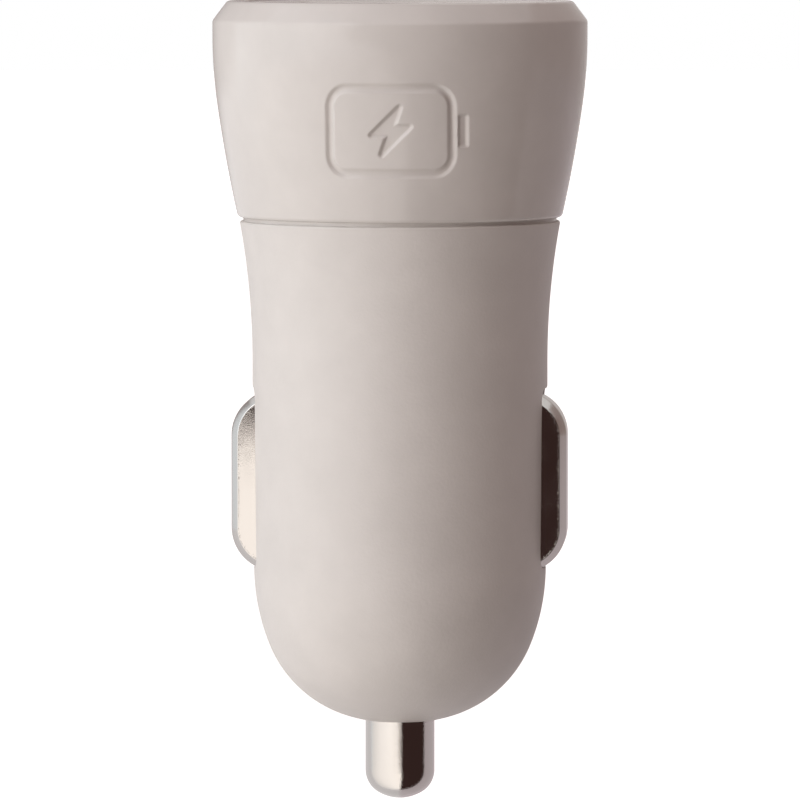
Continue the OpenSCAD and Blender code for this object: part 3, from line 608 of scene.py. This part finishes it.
def body_profile():
    """The nose, barrel and flare outside, then the mouth, the nose's inside and the sleeve."""
    hole = TIP_R + SNUG
    nose = nose_arcs(0, hole + TIP_HOLE_LIP, steps=14)
    drop = WAIST_R - BARREL_R
    flare_l = Z_WAIST - Z_FLARE
    flare_r = (drop**2 + flare_l**2) / (2 * drop)
    centre = (BARREL_R + flare_r, Z_FLARE)
    end = angle_to(centre, (WAIST_R, Z_WAIST)) % 360
    flare = arc(centre, flare_r, 180, end + FLARE_SHORT, steps=26)
    barrel = [(NOSE_R + (BARREL_R - NOSE_R) * t, Z_NOSE + (Z_LAND - Z_NOSE) * t)
              for t in np.linspace(0, 1, 18)]
    inner = nose_arcs(WALL, SLEEVE_R + SLEEVE_FOOT, steps=6)[::-1]
    mouth_in = SPIGOT_R + SNUG
    z_mouth = Z_WAIST - SPIGOT_L - LOOSE
    corner = [(*flare[-1], 0), (WAIST_R, Z_WAIST, MOUTH_ROUND),
              (mouth_in, Z_WAIST, MOUTH_IN_ROUND), (mouth_in, z_mouth, 0),
              (NOSE_R - WALL, z_mouth, 0)]
    sleeve_out = SLEEVE_R + SLEEVE_WALL
    seat = [(sleeve_out, inner[-1][1], 0), (sleeve_out, Z_SLEEVE, 0), (SLEEVE_R, Z_SLEEVE, 0),
            (SLEEVE_R, Z_SEAT, 0), (hole, Z_SEAT, 0),
            (hole, nose[0][1] - TIP_HOLE_ROUND / 2, TIP_HOLE_ROUND), (*nose[0], 0)]
    return (nose + barrel[1:] + [(BARREL_R, Z_FLARE)] + flare[1:] + filleted(corner)[1:]
            + inner + filleted(seat)[:-1])


def slot_cutter(side):
    """The slot's space, soft at the surface. Its lower end leans as the contact's does."""
    width, length = CONTACT_W + 2 * SLOT_GAP, CONTACT_L + 2 * SLOT_GAP
    # Each level stands at an x inside, or else at a depth below the surface
    levels = [(SEAT_X + 1, None, 0), (NOSE_R - WALL, None, 0)]
    for turn in (0, 20, 40, 60, 80):
        t = math.radians(turn)
        levels.append((None, SLOT_RIM * (1 - math.sin(t)), SLOT_RIM * (1 - math.cos(t))))
    levels.append((None, -SLOT_OUT, levels[-1][2]))
    loops = []
    for x, depth, grow in levels:
        loop = []
        corners = rounded_rectangle(width + 2 * grow, length + 2 * grow, SLOT_CORNER_R + grow,
                                    steps=10)
        for y, z in dense(corners):
            if z < 0 and depth is not None:
                z *= SLOT_FOOT
            z += Z_CONTACT + SLOT_RISE
            if z < Z_NOSE:
                reach = NOSE_R - NOSE_SIDE_R + math.sqrt(NOSE_SIDE_R**2 - (Z_NOSE - z) ** 2)
            else:
                reach = NOSE_R + (BARREL_R - NOSE_R) * (z - Z_NOSE) / (Z_LAND - Z_NOSE)
            surface = math.sqrt(reach**2 - y**2)
            loop.append((side * (x if depth is None else surface - depth), y, z))
        loops.append(loop)
    return loft("slot", loops, caps=True)


def dense(points, step=0.5):
    """A closed path with extra points on its long sides."""
    made = []
    for a, b in zip(points, points[1:] + points[:1]):
        count = max(1, int(math.dist(a, b) / step))
        made += [(a[0] + (b[0] - a[0]) * i / count, a[1] + (b[1] - a[1]) * i / count)
                 for i in range(count)]
    return made


shell = revolve("body", body_profile(), np.arange(0, 360, 2))
for way in (1, -1):
    shell = boolean(shell, slot_cutter(way), "DIFFERENCE")
body = finish_mesh("body", shell, "plug", "body_plastic", sharp=32)
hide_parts("body_shell")


# The plate and the port

def rectangle_ray(turn, w, h, r):
    """Where a ray at an angle from the middle meets a rounded rectangle."""
    c, s = abs(math.cos(turn)), abs(math.sin(turn))
    x = min(w / 2 / c if c > TINY else math.inf, h / 2 / s if s > TINY else math.inf)
    px, py = x * c, x * s
    if px > w / 2 - r and py > h / 2 - r:
        cx, cy = w / 2 - r, h / 2 - r
        along = cx * c + cy * s
        x = along + math.sqrt(max(0, along**2 - cx**2 - cy**2 + r**2))
    return x


def port_turns(w, h, r):
    """Angles that follow a rounded rectangle evenly, denser at its corners."""
    corners = rounded_rectangle(w, h, r, steps=8)
    turns = [math.atan2(y, x) for x, y in dense(corners, step=0.6)]
    return sorted(t % math.tau for t in turns)


def face_plate():
    """The plate, with a bevelled mouth and a collar round the port below it."""
    gap = 2 * SNUG
    w, h, r = PORT_W + 2 * (PORT_SHEET + gap), PORT_H + 2 * (PORT_SHEET + gap), PORT_CORNER_R
    z_collar = Z_PLATE - PORT_COLLAR_L
    turns = port_turns(w, h, r)
    rings = [("disc", x, y) for x, y in filleted([
        (PLATE_R, Z_PLATE, 0), (PLATE_R, Z_PLATE_TOP - PLATE_BEVEL, EDGE_ROUND),
        (PLATE_R - PLATE_BEVEL, Z_PLATE_TOP, EDGE_ROUND), (PLATE_R - 1, Z_PLATE_TOP, 0)])]
    rings += [("port", x, y) for x, y in filleted([
        (MOUTH_BEVEL_W + 1, Z_PLATE_TOP, 0), (MOUTH_BEVEL_W, Z_PLATE_TOP, PORT_EDGE_ROUND),
        (0, Z_PLATE_TOP - MOUTH_BEVEL_H, EDGE_ROUND), (0, z_collar, 0)])][1:]
    rings += [("port", PORT_COLLAR_T, z_collar), ("port", PORT_COLLAR_T, Z_PLATE)]
    loops = []
    for kind, size, z in rings:
        loop = []
        for t in turns:
            if kind == "disc":
                d = size
            else:
                grow = 2 * size
                d = rectangle_ray(t, w + grow, h + grow, r + size)
            loop.append((d * math.cos(t), d * math.sin(t), z))
        loops.append(loop)
    return loft("plate", loops, wrap=True)


plate = finish_mesh("plate", face_plate(), "plug", "plate_plastic")
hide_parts("face_plate")


# The contacts

def tip_profile():
    """A thin tube with a rounded end and a collar that stops it at its seat."""
    corner_x = TIP_R - TIP_CORNER_R
    corner_z = TIP_CROWN_R - math.sqrt((TIP_CROWN_R - TIP_CORNER_R) ** 2 - corner_x**2)

    def rounded_end(inset):
        bend = angle_to((0, TIP_CROWN_R), (corner_x, corner_z))
        return (arc((0, TIP_CROWN_R), TIP_CROWN_R - inset, -90, bend, steps=12)
                + arc((corner_x, corner_z), TIP_CORNER_R - inset, bend, 0, steps=16)[1:])

    z_collar = Z_SEAT + COLLAR_T
    side = [(TIP_R, z) for z in np.arange(corner_z + TIP_SIDE_STEP, Z_SEAT, TIP_SIDE_STEP)]
    return (rounded_end(0) + side + [(TIP_R, Z_SEAT), (COLLAR_R, Z_SEAT), (COLLAR_R, z_collar),
            (TIP_R - TIP_WALL, z_collar)] + rounded_end(TIP_WALL)[::-1])


tip_shape = revolve("tip", tip_profile(), np.arange(0, 360, 2.5))
tip = finish_mesh("tip", tip_shape, "tip", "contact_chrome")
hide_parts("centre_tip")


def contact_solid(way, inset, back):
    """The contact's outer form: an outline across X and Z for each level of Y."""
    z_end = CONTACT_L / 2 - CONTACT_END_R
    centre_x = CONTACT_X - CONTACT_END_R
    half_w = CONTACT_W / 2 - inset
    levels = [(-half_w, 0)]
    if inset == 0:
        # A bevel with soft edges, and a ring beside it that keeps the flat side's reflections flat
        w, t, soft = CONTACT_BEVEL_W, CONTACT_BEVEL_T, 0.04
        rise = t / w
        levels = [(-half_w, w + 2 * soft), (-half_w, w), (-half_w + soft / 2, w - soft),
                  (-half_w + soft * (0.5 + rise), w - 2 * soft), (-half_w + t - soft * rise, soft),
                  (-half_w + t, 0.35 * soft), (-half_w + t + soft, 0)]
    levels += [(-y, e) for y, e in levels[::-1]]
    loops = []
    for y, extra in levels:
        r = CONTACT_END_R - inset - extra
        outline = [(back, -z_end - r)]
        outline += arc((centre_x, -z_end), r, -90, 0, steps=20)
        outline += arc((centre_x, z_end), r, 0, 90, steps=20)
        outline += [(back, z_end + r)]
        loops.append([(way * x, y, Z_CONTACT + z) for x, z in outline])
    return loft("contact", loops, caps=True)


def side_contact(name, way, body_name, node):
    """A hollow contact with a flange that keeps it behind the housing's wall."""
    inner = FLANGE_X - CONTACT_T
    skin = contact_solid(way, 0, inner + CONTACT_T / 2)
    flange_z = CONTACT_L / 2 + CONTACT_FLANGE
    low, high = sorted((way * inner, way * FLANGE_X))
    half_w = CONTACT_W / 2 + CONTACT_FLANGE_SIDE
    flange = block((low, -half_w, Z_CONTACT - flange_z), (high, half_w, Z_CONTACT + flange_z))
    skin = boolean(skin, flange, "UNION")
    skin = boolean(skin, contact_solid(way, CONTACT_T, inner - CUT_OVER), "DIFFERENCE")
    piece = finish_mesh(name, skin, body_name, "contact_chrome", sharp=20, material=CONTACT_METAL)
    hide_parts(node)
    return piece


side_contact("contact_right", 1, "right_side_contact", "right_contact")
side_contact("contact_left", -1, "left_side_contact", "left_contact")


# The springs

def coil(length, r, wire_r, turns, sides=10, steps=28):
    """A wire wound along Z from 0 to length, with its end turns lying close."""
    close = CLOSE_PITCH * wire_r
    stretch = (length - 2 * wire_r - 2 * close) / (turns - 2)
    loops = []
    for i in range(turns * steps + 1):
        s = i / steps
        if s < 1:
            z = close * s
        elif s > turns - 1:
            z = close + stretch * (turns - 2) + close * (s - turns + 1)
        else:
            z = close + stretch * (s - 1)
        a = math.tau * s
        loop = []
        for k in range(sides):
            b = math.tau * k / sides
            q = r + wire_r * math.cos(b)
            loop.append((q * math.cos(a), q * math.sin(a), wire_r + z + wire_r * math.sin(b)))
        loops.append(loop)
    return loops


def spring(name, loops, place, node):
    """A coil set in place by a given function, riding on the plug, with a mesh of its own."""
    moved = [[place(*p) for p in loop] for loop in loops]
    piece = finish_mesh(name, loft(name, moved, caps=True), "plug", "spring_wire", sharp=60)
    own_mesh(piece)
    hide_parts(node)


bend = TIP_CORNER_R - TIP_WALL
z_spring = (TIP_CROWN_R - math.sqrt((TIP_CROWN_R - TIP_CORNER_R) ** 2 - (TIP_R - TIP_CORNER_R) ** 2)
            - math.sqrt(bend**2 - (bend - 2 * SNUG) ** 2))
tip_length = Z_TERMINAL - z_spring
tip_coil_r = TIP_R - TIP_WALL - 2 * SNUG - TIP_WIRE_R
spring("spring_tip", coil(tip_length, tip_coil_r, TIP_WIRE_R, TIP_TURNS),
       lambda x, y, z: (x, y, z_spring + z),
       "tip_spring")
side_length = CONTACT_X - CONTACT_T - SEAT_X
for way, side_name in ((1, "right"), (-1, "left")):
    spring("spring_" + side_name, coil(side_length, SIDE_COIL_R, SIDE_WIRE_R, SIDE_TURNS),
           lambda x, y, z: (way * (SEAT_X + z), y, Z_CONTACT - x * way),
           side_name + "_contact_spring")


# The camera
CENTRE = Vector((0, 0, 0.02803))
DISTANCE = 0.61
TURN = math.radians(3.0)
RISE = math.radians(3.6)
FIELD = math.radians(5.27)
SENSOR = 36
away = Vector((math.sin(TURN) * math.cos(RISE), -math.cos(TURN) * math.cos(RISE), math.sin(RISE)))
camera_data = bpy.data.cameras.new("camera")
camera_data.sensor_width = SENSOR
camera_data.lens = SENSOR / 2 / math.tan(FIELD / 2)
camera_data.clip_start = 0.01
camera_data.clip_end = 100
camera = bpy.data.objects.new("camera", camera_data)
camera.location = CENTRE + away * DISTANCE
camera.rotation_euler = away.to_track_quat("Z", "Y").to_euler()
bpy.context.scene.collection.objects.link(camera)
bpy.context.scene.camera = camera


# The studio

def seen_directly(tree):
    """1 for rays that show the background: from the camera, from gloss or through glass."""
    path = tree.nodes.new("ShaderNodeLightPath")
    total = path.outputs["Is Camera Ray"]
    for key in ("Is Glossy Ray", "Is Transmission Ray"):
        total = math_node(tree, "MAXIMUM", total, path.outputs[key])
    return total


WORLD_LIGHT = (0.5, 0.38, 0.352)
FLOOR_Z = -0.3
PANEL_REACH = 0.45
# The cards below the object lie this far above the floor and start this far from the axis
UNDER_RISE = 0.01
UNDER_START = 0.001
CARD_ROWS = 24
CARD_COLUMNS = 24
# Azimuths from the camera, in degrees, of the edges between the cards, at heights in metres
EDGES = {
    "back": [(-0.3, -110), (-0.04, -110), (-0.015, -122), (0.025, -120), (0.4, -112),
             (1.0, -112)],
    "strip": [(-0.3, -109), (-0.04, -109), (-0.015, -96), (0.025, -94), (0.4, -86), (1.0, -86)],
    "front": [(-0.3, 4.5), (-0.045, 4.5), (-0.032, -5.5), (-0.0034, -6), (-0.002, -24),
              (0.008, -24), (0.014, -12), (0.025, -12), (0.036, -28), (0.042, -33), (0.06, -33),
              (0.075, -20), (0.12, -22), (1.0, -45)],
    "right": [(-0.3, 86), (0.025, 89), (0.4, 95), (1.0, 95)],
    "right_top": [(0.5, 25), (1.3, 25)],
    "behind": [(-0.3, 180), (1.0, 180)],
}
# Below the first height the low radiances hold, and above the second the high ones
LOW_Z, HIGH_Z = -0.002, 0.02
STRIP = [(1.03, 1.08, 1.12)] * 2
KEY = [(0.85, 0.93, 0.98), (1.33, 1.5, 1.6), (2.56, 2.58, 2.64), (2.8, 2.68, 2.68)]
KEY_LOW = [(1.12, 1.08, 1.05), (1.5, 1.42, 1.36), (1.66, 1.57, 1.49), (1.66, 1.55, 1.46)]
DARK = [(0.05, 0.027, 0.024)] * 2
RIGHT = [(0.34, 0.25, 0.23), (0.64, 0.6, 0.58)]
RIGHT_LOW = [(0.6, 0.53, 0.54), (0.68, 0.61, 0.63)]
LEFT = [(0.38, 0.335, 0.325), (0.4, 0.35, 0.34)]
LEFT_LOW = [(0.8, 0.77, 0.77), (0.9, 0.87, 0.88)]
TOP = [(0.95, 0.93, 0.92)] * 2
PANELS = [
    # name, first and last edge, heights in metres, radiances along the card, low and high
    ("strip_light", "back", "strip", FLOOR_Z, 0.9, STRIP, STRIP),
    ("key_light", "strip", "front", FLOOR_Z, 0.9, KEY_LOW, KEY),
    ("dark_card", "front", "right", FLOOR_Z, 0.26, DARK, DARK),
    ("right_card", "right", "behind", FLOOR_Z, 0.45, RIGHT_LOW, RIGHT),
    ("left_card", "behind", "back", FLOOR_Z, 0.45, LEFT_LOW, LEFT),
    ("top_card", "right_top", "behind", 0.5, 1.3, TOP, TOP),
]


def emission(name):
    """Glows with the colour that the mesh's points carry."""
    material = bpy.data.materials.new(name)
    material.use_nodes = True
    tree = material.node_tree
    tree.nodes.clear()
    glow = tree.nodes.new("ShaderNodeEmission")
    radiance = tree.nodes.new("ShaderNodeAttribute")
    radiance.attribute_name = "radiance"
    tree.links.new(radiance.outputs["Color"], glow.inputs["Color"])
    out = tree.nodes.new("ShaderNodeOutputMaterial")
    tree.links.new(glow.outputs["Emission"], out.inputs["Surface"])
    return material


def edge_at(name, z):
    """The azimuth of an edge between two cards at a height."""
    heights, turns = zip(*EDGES[name])
    return float(np.interp(z, heights, turns))


def card(name, rows, colours):
    """A sheet over a grid of points that glows with the points' colours, unseen by the camera."""
    across = len(rows[0]) - 1
    wide = across + 1
    faces = [(i * wide + j, i * wide + j + 1, (i + 1) * wide + j + 1, (i + 1) * wide + j)
             for i in range(len(rows) - 1) for j in range(across)]
    made = bpy.data.objects.new(name, mesh_of(name, [p for row in rows for p in row], faces))
    made.data.materials.append(emission(name))
    values = made.data.attributes.new("radiance", "FLOAT_COLOR", "POINT")
    values.data.foreach_set("color", np.array([(*c, 1) for row in colours for c in row]).ravel())
    made.visible_camera = False
    made.visible_shadow = False
    bpy.context.scene.collection.objects.link(made)
    return made


def spread(knots, count):
    """Colours at even steps along a list of them."""
    at = np.linspace(0, len(knots) - 1, count)
    return np.stack([np.interp(at, range(len(knots)), [k[i] for k in knots]) for i in range(3)], 1)


def turns_at(first, last, z):
    """Angles across a card at a height, from its first edge to its last."""
    start, end = edge_at(first, z), edge_at(last, z)
    end += 360 if end < start else 0
    return np.radians(np.linspace(start, end, CARD_COLUMNS + 1)) + TURN


def panel(name, first, last, low, top, low_knots, high_knots):
    """A card bent round the object."""
    heights = sorted({z for knots in EDGES.values() for z, _ in knots if low < z < top}
                     | set(np.linspace(low, top, CARD_ROWS).tolist()))
    rows, colours = [], []
    for z in heights:
        turns = turns_at(first, last, z)
        rows.append([(PANEL_REACH * math.sin(a), -PANEL_REACH * math.cos(a), z) for a in turns])
        high = float(np.interp(z, (LOW_Z, HIGH_Z), (0, 1)))
        colours.append(spread(low_knots, len(turns)) * (1 - high)
                       + spread(high_knots, len(turns)) * high)
    card(name, rows, colours)


def under_card(name, first, last, knots):
    """A sector below the object, unseen by diffuse light, that the metal ends reflect."""
    turns = turns_at(first, last, FLOOR_Z)
    rows = [[(r * math.sin(a), -r * math.cos(a), FLOOR_Z + UNDER_RISE) for a in turns]
            for r in (UNDER_START, PANEL_REACH)]
    made = card(name, rows, [spread(knots, len(turns))] * 2)
    made.visible_diffuse = False


for entry in PANELS:
    panel(*entry)
for name, first, last, low, top, low_knots, high_knots in PANELS:
    if low == FLOOR_Z and name != "strip_light":
        under_card(name + "_under", first, last, low_knots)

world = bpy.data.worlds.new("world")
world.use_nodes = True
bpy.context.scene.world = world
tree = world.node_tree
background = tree.nodes["Background"]
mix = tree.nodes.new("ShaderNodeMix")
mix.data_type = "RGBA"
mix.inputs["A"].default_value = (*WORLD_LIGHT, 1)
mix.inputs["B"].default_value = (1, 1, 1, 1)
tree.links.new(seen_directly(tree), mix.inputs["Factor"])
tree.links.new(mix.outputs["Result"], background.inputs["Color"])

FLOOR_REACH = 14.0
FLOOR_GLOW = 0.9
FLOOR_SHADE = 0.6
FLOOR_ROUGHNESS = 0.9
floor = bpy.data.objects.new("floor", mesh_of("floor", [
    (x * FLOOR_REACH, y * FLOOR_REACH, FLOOR_Z) for x, y in ((-1, -1), (1, -1), (1, 1), (-1, 1))],
    [(0, 1, 2, 3)]))
bpy.context.scene.collection.objects.link(floor)
paint = bpy.data.materials.new("floor")
paint.use_nodes = True
tree = paint.node_tree
matt = tree.nodes["Principled BSDF"]
matt.inputs["Base Color"].default_value = (FLOOR_SHADE, FLOOR_SHADE, FLOOR_SHADE, 1)
matt.inputs["Roughness"].default_value = FLOOR_ROUGHNESS
matt.inputs["Emission Color"].default_value = (1, 1, 1, 1)
glow = math_node(tree, "MULTIPLY", seen_directly(tree), FLOOR_GLOW)
tree.links.new(glow, matt.inputs["Emission Strength"])
floor.data.materials.append(paint)

bpy.context.scene.view_settings.view_transform = "Standard"
